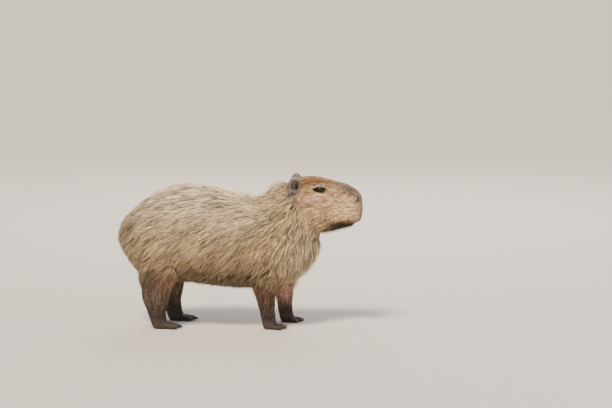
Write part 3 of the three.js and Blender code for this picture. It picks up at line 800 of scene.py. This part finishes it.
# The coat stands higher behind the ears and under the throat
def riseAt(points):
    return 1 + 0.9 * bell(points, (196, 0, 556), 52) + 0.5 * bell(points, (250, 0, 300), 70)


tuftShape = {
    "longs": (0.65, 1.25),  # spreads, as shares of a kind's own measure
    "deeps": (0.5, 1.0),
    "wides": (0.7, 1.25),
    "rootDeep": 1.5,
    "rings": 2,
    "swell": ([0, 0.25, 0.6, 1], [0.75, 1, 0.8, 0]),  # width along the tuft
    "keel": 0.7,
    "streak": 32.0,
    "contrast": 2.4,
    "chance": 0.28,  # share of a tuft's tone that isn't its streak's
    "patch": 0.003,  # a tuft's size on the skin's unwrap
}


def sowRoots(count, chooser):
    weight = areas * chooser(middles, facing)
    chosen = rng.choice(len(weight), count, p=weight / weight.sum())
    a, b = rng.random((2, count, 1))
    flip = (a + b) > 1
    a, b = np.where(flip, 1 - a, a), np.where(flip, 1 - b, b)
    shares = np.stack([1 - a - b, a, b], axis=1)
    roots = (corners[chosen] * shares).sum(axis=1)
    rootMap = (cornerMap[chosen] * shares).sum(axis=1)
    return roots, unit((skinNormals[triangles[chosen]] * shares).sum(axis=1)), rootMap


# Three points round each stop, on a curve from root to tip
def tuftPoints(roots, middle, tips, rootOut, tipOut, width, stops):
    bend = 2 * middle - (roots + tips) / 2
    swell = np.interp(stops, *tuftShape["swell"])
    made = []
    for i, t in enumerate(stops[:-1]):
        place = roots * (1 - t) ** 2 + 2 * t * (1 - t) * bend + tips * t * t
        ahead = unit((1 - t) * (bend - roots) + t * (tips - bend))
        out = unit(rootOut * (1 - t) + tipOut * t)
        across = unit(np.cross(ahead, out))
        half = width * swell[i] / 2
        keel = np.cross(across, ahead) * half * tuftShape["keel"]
        made += [place + across * half, place - across * half, place + keel]
    made.append(tips)
    return np.stack(made, axis=1).reshape(-1, 3)


def tuftFaces(count, rings):
    tip = 3 * rings
    pattern = [(0, 2, 1)]
    for i in range(rings - 1):
        for j in range(3):
            p, q = 3 * i + j, 3 * i + (j + 1) % 3
            pattern += [(p, q, q + 3), (p, q + 3, p + 3)]
    last = tip - 3
    pattern += [(last, last + 1, tip), (last + 1, last + 2, tip), (last + 2, last, tip)]
    return (np.array(pattern)[None] + (np.arange(count) * (tip + 1))[:, None, None]).reshape(-1, 3)


def triangleMesh(name, vertices, faces):
    mesh = bpy.data.meshes.new(name)
    mesh.vertices.add(len(vertices))
    mesh.vertices.foreach_set("co", toFrame(vertices).ravel())
    mesh.loops.add(faces.size)
    mesh.loops.foreach_set("vertex_index", faces.ravel())
    mesh.polygons.add(len(faces))
    mesh.polygons.foreach_set("loop_start", np.arange(0, faces.size, 3))
    mesh.update(calc_edges=True)
    return mesh


def growCoat(name, kind, chooser, colourBy=markingAndLightAt):
    count = kind["count"]
    roots, rootOut, rootMap = sowRoots(count, chooser)
    grown = np.ones((count, 1)) if kind.get("ownSize") else sizeAt(roots)[:, None]
    long = kind["long"] * grown * rng.uniform(*tuftShape["longs"], (count, 1))
    scatter = np.radians(rng.normal(0, kind["scatter"], (count, 1)))

    def flow(places, outs):
        lie = lieAt(places)
        lie = unit(lie - (lie * outs).sum(axis=1, keepdims=True) * outs)
        return lie * np.cos(scatter) + np.cross(outs, lie) * np.sin(scatter)

    middle, middleOut = nearestOn(roots + flow(roots, rootOut) * long / 2, rootOut)
    tips, tipOut = nearestOn(middle + flow(middle, middleOut) * long / 2, middleOut)
    deep = kind["deep"] * grown * rng.uniform(*tuftShape["deeps"], (count, 1)) * riseAt(roots)[:, None]
    deep += kind.get("loose", 0) * grown * rng.random((count, 1)) ** 6
    middle = middle + middleOut * deep * 0.7
    tips = tips + tipOut * deep
    roots = roots - rootOut * tuftShape["rootDeep"]
    width = kind["wide"] * (0.4 + 0.6 * grown) * rng.uniform(*tuftShape["wides"], (count, 1))

    rings = kind.get("rings", tuftShape["rings"])
    stops = np.linspace(0, 1, rings + 1)
    each = 3 * rings + 1
    faces = tuftFaces(count, rings)
    mesh = triangleMesh(name, tuftPoints(roots, middle, tips, rootOut, tipOut, width, stops), faces)
    piece = bpy.data.objects.new(name, mesh)
    bpy.context.scene.collection.objects.link(piece)

    reach = kind.get("streak", tuftShape["streak"])
    contrast = kind.get("contrast", tuftShape["contrast"])
    tone = (1 - tuftShape["chance"]) * streaksAt(roots, flow(roots, rootOut), reach, contrast)
    tone += tuftShape["chance"] * rng.random(count)
    along = np.append(np.repeat(stops[:-1], 3), 1.0)
    addAttribute(piece, "markingAndLight", "FLOAT_COLOR", withAlpha(np.repeat(colourBy(roots), each, axis=0)))
    addAttribute(piece, "along", "FLOAT", np.tile(along, count))
    addAttribute(piece, "tone", "FLOAT", np.repeat(tone, each))
    # each tuft's patch lies at its root's place on the skin's own unwrap
    across = np.append(np.tile([-0.5, 0.5, 0.0], rings), 0.0)
    patch = np.stack([across, along - 0.5], axis=1) * tuftShape["patch"]
    corner = rootMap[:, None, :] + patch[None]
    layer = mesh.uv_layers.new(name="OFBake")
    layer.data.foreach_set("uv", corner.reshape(-1, 2)[faces.ravel()].ravel())
    piece.data.materials.append(hairMaterial)
    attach(piece, bodyName)
    print(name, "grown:", count, "tufts,", len(faces), "triangles")
    return piece


# Materials
def newMaterial(name):
    material = bpy.data.materials.new(name)
    material.use_nodes = True
    material.node_tree.nodes.clear()
    return material


def addNode(material, kind, settings=None, links=None):
    # settings: socket or property values; links: socket name to (node, its output)
    node = material.node_tree.nodes.new("ShaderNode" + kind)
    for name, value in (settings or {}).items():
        if hasattr(node, str(name)):
            setattr(node, name, value)
        else:
            node.inputs[name].default_value = value
    for name, (other, output) in (links or {}).items():
        material.node_tree.links.new(other.outputs[output], node.inputs[name])
    return node


def addRange(material, source, output, fromRange, toRange):
    limits = {
        "From Min": fromRange[0], "From Max": fromRange[1],
        "To Min": toRange[0], "To Max": toRange[1],
    }
    return addNode(material, "MapRange", limits, {"Value": (source, output)})


def finishMaterial(material, shader):
    addNode(material, "OutputMaterial", {}, {"Surface": (shader, "BSDF")})
    return material


# Capybara hair: coarse keratin, dull, darker at the root and bleached at the tip
hairLook = {
    "rootDark": 0.34,
    "tipPale": 1.5,
    "toneDark": 0.14,
    "tonePale": 1.95,
    "roughness": 0.62,
    "shine": 0.3,
}


def makeHair(name, look):
    material = newMaterial(name)
    markingAndLight = addNode(material, "Attribute", {"attribute_name": "markingAndLight"})
    along = addNode(material, "Attribute", {"attribute_name": "along"})
    tone = addNode(material, "Attribute", {"attribute_name": "tone"})
    length = addRange(material, along, "Fac", (0, 1), (look["rootDark"], look["tipPale"]))
    clump = addRange(material, tone, "Fac", (0, 1), (look["toneDark"], look["tonePale"]))
    both = addNode(
        material, "Math", {"operation": "MULTIPLY"}, {0: (length, "Result"), 1: (clump, "Result")}
    )
    colour = addNode(
        material, "VectorMath", {"operation": "SCALE"}, {0: (markingAndLight, "Color"), "Scale": (both, "Value")}
    )
    shader = addNode(
        material, "BsdfPrincipled",
        {"Roughness": look["roughness"], "IOR": 1.55, "Specular IOR Level": look["shine"]},
        {"Base Color": (colour, "Vector")},
    )
    return finishMaterial(material, shader)


# Hide with short flat fur: strands as fine streaks, pores and creases as bump
hideLook = {
    "strands": (90, 260, 260),  # per metre along and across the body
    "creases": 300.0,  # 3 mm scales
    "mottles": 60.0,
    "furTones": (0.3, 0.6),
    "bareTones": (0.5, 0.8),
    "bumpHigh": 0.001,
}


def makeHide(look):
    material = newMaterial("hideWithShortFur")
    place = addNode(material, "TexCoord")
    markingAndLight = addNode(material, "Attribute", {"attribute_name": "markingAndLight"})
    furred = addNode(material, "Attribute", {"attribute_name": "furred"})
    streaks = addNode(material, "Mapping", {"Scale": look["strands"]}, {"Vector": (place, "Object")})
    fur = addNode(material, "TexNoise", {"Scale": 1.0, "Detail": 4.0}, {"Vector": (streaks, "Vector")})
    creases = addNode(material, "TexVoronoi", {"Scale": look["creases"]}, {"Vector": (place, "Object")})
    mottles = addNode(
        material, "TexNoise", {"Scale": look["mottles"], "Detail": 5.0}, {"Vector": (place, "Object")}
    )
    furShade = addRange(material, fur, "Fac", (0.3, 0.7), look["furTones"])
    bareShade = addRange(material, mottles, "Fac", (0.3, 0.7), look["bareTones"])
    mixed = addNode(
        material, "Mix", {"data_type": "FLOAT"},
        {0: (furred, "Fac"), 2: (bareShade, "Result"), 3: (furShade, "Result")},
    )
    colour = addNode(
        material, "VectorMath", {"operation": "SCALE"}, {0: (markingAndLight, "Color"), "Scale": (mixed, 0)}
    )
    height = addNode(
        material, "Mix", {"data_type": "FLOAT"},
        {0: (furred, "Fac"), 2: (creases, "Distance"), 3: (fur, "Fac")},
    )
    bump = addNode(
        material, "Bump", {"Strength": 0.5, "Distance": look["bumpHigh"]}, {"Height": (height, 0)}
    )
    shader = addNode(
        material, "BsdfPrincipled", {"Roughness": 0.6, "IOR": 1.45, "Specular IOR Level": 0.35},
        {"Base Color": (colour, "Vector"), "Normal": (bump, "Normal")},
    )
    return finishMaterial(material, shader)


# Model eyes of lacquered glass: near-black pupil, dark brown iris, a wet shine
def makeEyeGlass():
    material = newMaterial("paintedEyeGlass")
    pupil = addNode(material, "Attribute", {"attribute_name": "pupil"})
    place = addNode(material, "TexCoord")
    rays = addNode(material, "TexNoise", {"Scale": 700.0, "Detail": 3.0}, {"Vector": (place, "Object")})
    ragged = addNode(
        material, "Math", {"operation": "MULTIPLY_ADD", 1: 0.18, 2: -0.09}, {0: (rays, "Fac")}
    )
    total = addNode(material, "Math", {"operation": "ADD"}, {0: (pupil, "Fac"), 1: (ragged, "Value")})
    ramp = addNode(material, "ValToRGB", {}, {"Fac": (total, "Value")})
    elements = ramp.color_ramp.elements
    # from the pupil out over the iris to its dark edge
    for position, hexColour in ((0.30, "#040303"), (0.42, "#160d08"), (0.72, "#21140c"), (0.9, "#0a0605")):
        element = elements.new(position)
        element.color = (*linearOf(hexColour), 1)
    elements.remove(elements[0])
    elements.remove(elements[-1])
    shader = addNode(
        material, "BsdfPrincipled",
        {
            "Roughness": 0.25, "IOR": 1.5, "Specular IOR Level": 0.2,
            "Coat Weight": 0.3, "Coat Roughness": 0.03,
        },
        {"Base Color": (ramp, "Color")},
    )
    return finishMaterial(material, shader)


# Horn: dark keratin, smooth, with growth lines across
def makeHorn():
    material = newMaterial("clawHorn")
    place = addNode(material, "TexCoord")
    lines = addNode(material, "TexWave", {"Scale": 110.0, "Distortion": 3.0}, {"Vector": (place, "Object")})
    cloud = addNode(material, "TexNoise", {"Scale": 90.0, "Detail": 4.0}, {"Vector": (place, "Object")})
    ramp = addNode(material, "ValToRGB", {}, {"Fac": (cloud, "Fac")})
    for element, position, hexColour in zip(ramp.color_ramp.elements, (0.35, 0.7), ("#2a2320", "#5b4c41")):
        element.position = position
        element.color = (*linearOf(hexColour), 1)
    bump = addNode(material, "Bump", {"Strength": 0.25, "Distance": 0.0006}, {"Height": (lines, "Fac")})
    shader = addNode(
        material, "BsdfPrincipled", {"Roughness": 0.38, "IOR": 1.55},
        {"Base Color": (ramp, "Color"), "Normal": (bump, "Normal")},
    )
    return finishMaterial(material, shader)


hairMaterial = makeHair("coarseHair", hairLook)
skin.data.materials.clear()
skin.data.materials.append(makeHide(hideLook))
print("hair and hide materials made")

# Where one piece of the coat ends and the next begins
coatEdges = {
    "neckFrom": 70.0,
    "shoulderTo": 150.0,  # the back's coat runs on this far between the shoulders
    "rumpTo": -300.0,
    "upward": 0.55,  # a normal's rise, beyond which it is back or belly
    "foreLegFrom": -60.0,
    "foreLegTop": 165.0,
    "hindLegTo": -180.0,
    "hindLegTop": 190.0,
    "feetTop": 60.0,
}


# Where each part of the coat grows; values are weights by place
def headShare(points):
    return smoothStep(alongNeck(points), 205, 235) * (points[:, 2] > 350)


def legShare(points):
    x, z = points[:, 0], points[:, 2]
    foreLeg = (x > coatEdges["foreLegFrom"]) & (z < coatEdges["foreLegTop"])
    hindLeg = (x < coatEdges["hindLegTo"]) & (z < coatEdges["hindLegTop"])
    return (foreLeg | hindLeg) * smoothStep(z, 34, coatEdges["feetTop"])


def bodyShare(points):
    return (1 - headShare(points)) * (legShare(points) == 0) * (points[:, 2] > coatEdges["feetTop"])


def bareSkin(points):
    right = onRight(points)
    eye = np.linalg.norm((right - eyeAt) / np.array([25, 30, 16]), axis=1)
    nostril = np.linalg.norm((right - np.array(nostrilShape["at"])) / np.array([18, 18, 17]), axis=1)
    pad = smoothStep(right[:, 0], 458, 470)
    return ((eye > 1) & (nostril > 1) & (earAway(points) > 1)) * (1 - pad)


def betweenRumpAndNeck(points):
    return (points[:, 0] >= coatEdges["rumpTo"]) & (points[:, 0] < coatEdges["neckFrom"])


def backHair(points, normals):
    upward = normals[:, 2] > coatEdges["upward"]
    return bodyShare(points) * upward * (points[:, 0] < coatEdges["shoulderTo"])


def rumpHair(points, normals):
    sideways = normals[:, 2] <= coatEdges["upward"]
    return bodyShare(points) * sideways * (points[:, 0] < coatEdges["rumpTo"])


def flankHair(sign):
    def chosen(points, normals):
        sideways = (normals[:, 2] <= coatEdges["upward"]) & (normals[:, 2] > -coatEdges["upward"])
        return bodyShare(points) * sideways * (points[:, 1] * sign > 0) * betweenRumpAndNeck(points)
    return chosen


def bellyHair(points, normals):
    return bodyShare(points) * (normals[:, 2] <= -coatEdges["upward"]) * betweenRumpAndNeck(points)


def neckHair(sign):
    def chosen(points, normals):
        beside = (normals[:, 2] <= coatEdges["upward"]) | (points[:, 0] >= coatEdges["shoulderTo"])
        front = (points[:, 0] >= coatEdges["neckFrom"]) & beside
        return bodyShare(points) * front * (points[:, 1] * sign > 0)
    return chosen


def headHair(sign):
    def chosen(points, normals):
        dense = 1 + 1.2 * smoothStep(points[:, 0], 300, 440)
        return headShare(points) * bareSkin(points) * dense * (points[:, 1] * sign > 0)
    return chosen


def legHair(points, normals):
    return legShare(points)


# The ear's back and rim have hair, and its hollow is bare
def earHair(points, normals):
    outer = normals[:, 1] * np.sign(points[:, 1]) < 0.35
    return (earAway(points) <= 1.05) * (points[:, 2] > 530) * outer


def whiskerPlace(points, normals):
    x, z = points[:, 0], points[:, 2]
    return (x > 405) & (x < 452) & (z > 425) & (z < 482) & (np.abs(normals[:, 1]) > 0.5)


def chinPlace(points, normals):
    x, z = points[:, 0], points[:, 2]
    return (x > 325) & (x < 450) & (z < 404) & (z > 350)


def darkHair(points):
    return np.tile(linearOf(markingsAndLight["chin"]), (len(points), 1)) * 0.55


# long, wide, deep and loose are millimetres, scatter is degrees and streak is half a streak's length
coat = {
    "back": {"count": 16000, "long": 66, "wide": 2.6, "deep": 7, "loose": 16, "scatter": 6},
    "rump": {"count": 14500, "long": 60, "wide": 2.5, "deep": 10, "loose": 14, "scatter": 6},
    "flank": {"count": 16500, "long": 60, "wide": 2.5, "deep": 10, "loose": 8, "scatter": 7},
    "belly": {"count": 8500, "long": 60, "wide": 2.8, "deep": 20, "loose": 12, "scatter": 9},
    "neck": {"count": 12500, "long": 58, "wide": 2.4, "deep": 10, "loose": 24, "scatter": 8},
    "head": {
        "count": 17500, "long": 32, "wide": 1.8, "deep": 4.5, "loose": 3, "scatter": 9,
        "streak": 6, "contrast": 1.1,
    },
    "leg": {"count": 14500, "long": 42, "wide": 2.5, "deep": 8, "loose": 4, "scatter": 9},
    "ear": {"count": 1600, "long": 8, "wide": 0.8, "deep": 1.6, "scatter": 14, "ownSize": True},
    "whisker": {
        "count": 36, "long": 44, "wide": 0.6, "deep": 13, "scatter": 12, "rings": 3, "ownSize": True,
    },
    "chin": {
        "count": 260, "long": 24, "wide": 1.0, "deep": 13, "scatter": 16, "rings": 3, "ownSize": True,
    },
}
growCoat("coatBack", coat["back"], backHair)
growCoat("coatRump", coat["rump"], rumpHair)
for side, sign in sides.items():
    growCoat("coatFlank_" + side, coat["flank"], flankHair(sign))
    growCoat("coatNeck_" + side, coat["neck"], neckHair(sign))
    growCoat("coatHead_" + side, coat["head"], headHair(sign))
growCoat("coatBelly", coat["belly"], bellyHair)
growCoat("coatLegs", coat["leg"], legHair)
growCoat("coatEars", coat["ear"], earHair)
growCoat("whiskers", coat["whisker"], whiskerPlace, darkHair)
growCoat("chinHair", coat["chin"], chinPlace, darkHair)

# Eyes: a glass ball in each socket, its front bulging a little
eyeMaterial = makeEyeGlass()
for side, sign in sides.items():
    bpy.ops.mesh.primitive_uv_sphere_add(segments=48, ring_count=32, radius=eyeShape["radius"] * mm)
    eye = bpy.context.object
    eye.name = "eyeBall_" + side
    ball = pointsOf(eye) / mm
    look = unit(np.array(eyeShape["look"])) * np.array([1, -sign, 1])
    aheadAxis, upAxis, _ = basisFrom(look)
    ball[:, 2] += eyeShape["bulge"] * smoothStep(ball[:, 2], 9, 18)
    pupilLong, pupilHigh = eyeShape["pupil"]
    pupil = np.hypot(ball[:, 0] / pupilLong, ball[:, 1] / pupilHigh)
    pupil = np.where(ball[:, 2] > 0, pupil, 1.0)
    placed = ball[:, [0]] * aheadAxis + ball[:, [1]] * upAxis + ball[:, [2]] * look
    placed += eyeAt * np.array([1, -sign, 1])
    movePoints(eye, toFrame(placed))
    addAttribute(eye, "pupil", "FLOAT", pupil)
    useOnly(eye)
    bpy.ops.object.mode_set(mode="EDIT")
    bpy.ops.mesh.select_all(action="SELECT")
    bpy.ops.mesh.normals_make_consistent(inside=False)
    bpy.ops.object.mode_set(mode="OBJECT")
    bpy.ops.object.shade_smooth()
    eye.data.materials.append(eyeMaterial)
    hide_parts("eye_" + side)
    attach(eye, bodyName)
print("eyes set")

# Claws: the solids' own forms, rounded
clawNodes = sorted(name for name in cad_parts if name.startswith("claw_"))
claws = joinPieces([copyOfNode(name, 0) for name in clawNodes], "claws")
applyModifier(claws, "SUBSURF", levels=1, render_levels=1)
useOnly(claws)
bpy.ops.object.shade_smooth()
claws.data.materials.clear()
claws.data.materials.append(makeHorn())
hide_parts(*clawNodes)
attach(claws, bodyName)
print("claws rounded:", len(clawNodes))

# Floor, light and camera
stageSet = {
    "floor": "#d9d5cd",
    "aim": (251.5, 0.0, 474.0),  # the middle of the picture, on the body's own mid plane
    "away": 8000.0,
    "azimuth": 3.0,
    "elevation": 7.0,
    "lens": 122.0,
    "floorRadius": 60.0,  # metres, so that its edge is never seen
    "world": "#e9e8e6",
    "worldPower": 0.6,
}
lamps = {
    "fill": {"at": (4.2, -3.0, 2.0), "size": 3.0, "power": 60, "colour": "#eef3ff"},
    "back": {"at": (0.5, 4.2, 3.6), "size": 2.6, "power": 130, "colour": "#fff8ee"},
}
sunLight = {
    "at": (-1.2, -3.0, 4.6),
    "along": (1.1, 2.5, -4.2),
    "power": 4.6,
    "angle": 18.0,
    "colour": "#fff0db",
}
deselectAll()
bpy.ops.mesh.primitive_circle_add(vertices=96, radius=stageSet["floorRadius"], fill_type="NGON")
floor = bpy.context.object
floor.name = "floor"
floorMaterial = newMaterial("paleFloor")
floorShader = addNode(
    floorMaterial, "BsdfPrincipled", {"Base Color": (*linearOf(stageSet["floor"]), 1), "Roughness": 0.8}
)
finishMaterial(floorMaterial, floorShader)
floor.data.materials.append(floorMaterial)


def addLamp(name, kind, settings, along):
    bpy.ops.object.light_add(type=kind, location=settings["at"])
    lamp = bpy.context.object
    lamp.name = name
    lamp.data.energy = settings["power"]
    lamp.data.color = tuple(linearOf(settings["colour"]))
    lamp.rotation_euler = Vector(along).to_track_quat("-Z", "Y").to_euler()
    return lamp


for name, settings in lamps.items():
    lamp = addLamp(name, "AREA", settings, Vector((0, 0, 0.3)) - Vector(settings["at"]))
    lamp.data.size = settings["size"]
sun = addLamp("key", "SUN", sunLight, sunLight["along"])
sun.data.angle = radians(sunLight["angle"])
world = bpy.data.worlds.new("studio")
world.use_nodes = True
backdrop = world.node_tree.nodes["Background"]
backdrop.inputs["Color"].default_value = (*linearOf(stageSet["world"]), 1)
backdrop.inputs["Strength"].default_value = stageSet["worldPower"]
bpy.context.scene.world = world

azimuth, elevation = radians(stageSet["azimuth"]), radians(stageSet["elevation"])
viewFrom = Vector((sin(azimuth) * cos(elevation), -cos(azimuth) * cos(elevation), sin(elevation)))
camera = bpy.data.objects.new("camera", bpy.data.cameras.new("camera"))
bpy.context.scene.collection.objects.link(camera)
camera.data.lens = stageSet["lens"]
camera.data.clip_end = 100
camera.location = Vector(toFrame(stageSet["aim"])) + viewFrom * stageSet["away"] * mm
camera.rotation_mode = "QUATERNION"
camera.rotation_quaternion = (-viewFrom).to_track_quat("-Z", "Y")
bpy.context.scene.camera = camera
